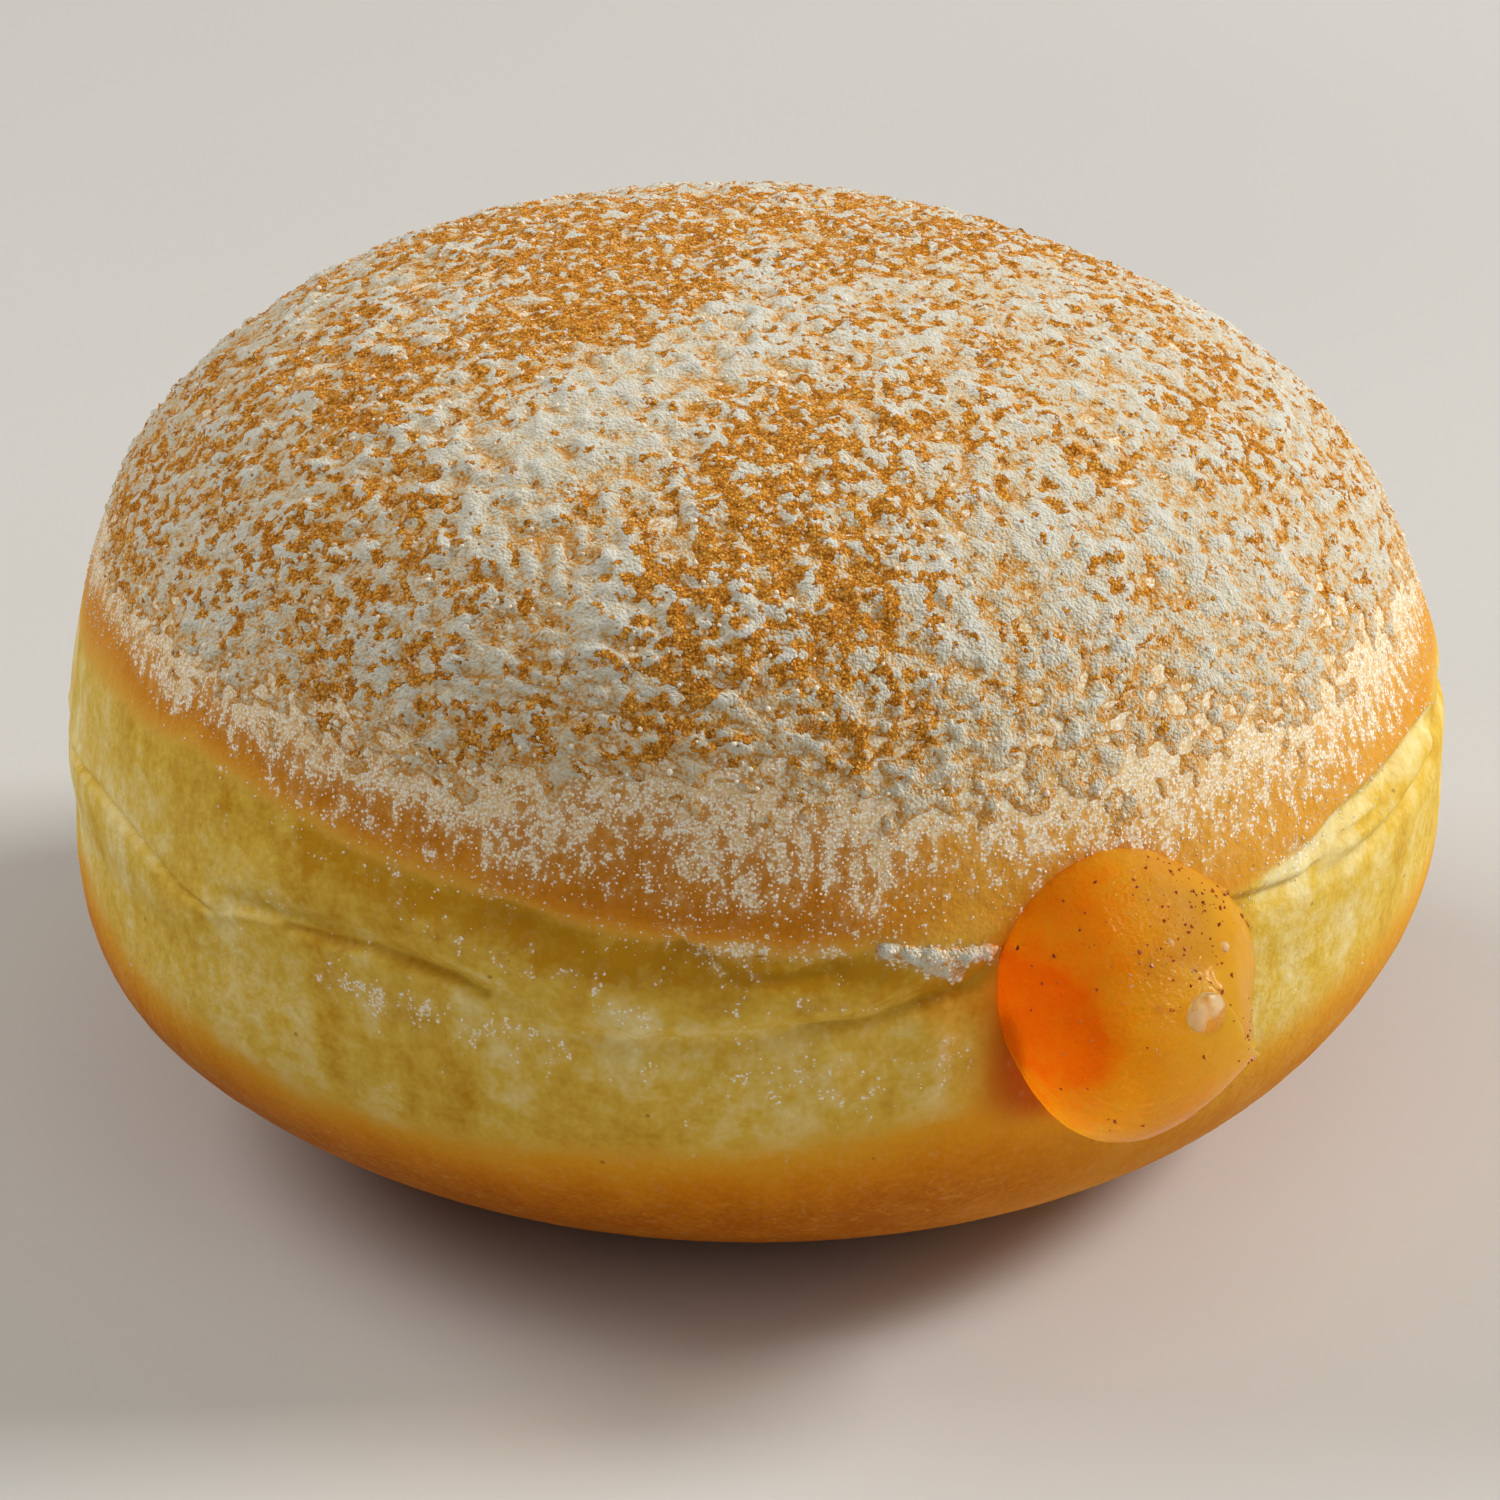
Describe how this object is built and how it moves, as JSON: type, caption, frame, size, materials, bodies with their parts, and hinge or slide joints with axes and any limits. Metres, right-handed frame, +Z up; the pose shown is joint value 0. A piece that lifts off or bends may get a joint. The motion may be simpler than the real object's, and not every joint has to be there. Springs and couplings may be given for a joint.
{
  "type": "filled doughnut",
  "caption": "Round filled doughnut without a through hole: sugared dome, pale creased band, browned base and a lump of jelly swelling from the side.",
  "frame": {"origin": "centre of the bounding box at the flat spot that the doughnut rests on", "axes": "+Z up through the dome; -Y towards the side whose right shows the jelly, +X to that side's right"},
  "size_m": [0.0903, 0.0914, 0.057],
  "materials": {
    "fried_dough": "matte golden fried crust with a paler band round the middle, dusted with sugar and cinnamon",
    "apricot_jelly": "clear glossy amber jelly, orange where it is thick"
  },
  "bodies": {
    "root": {"doughnut": "fried_dough", "filling": "apricot_jelly"}
  },
  "joints": []
}
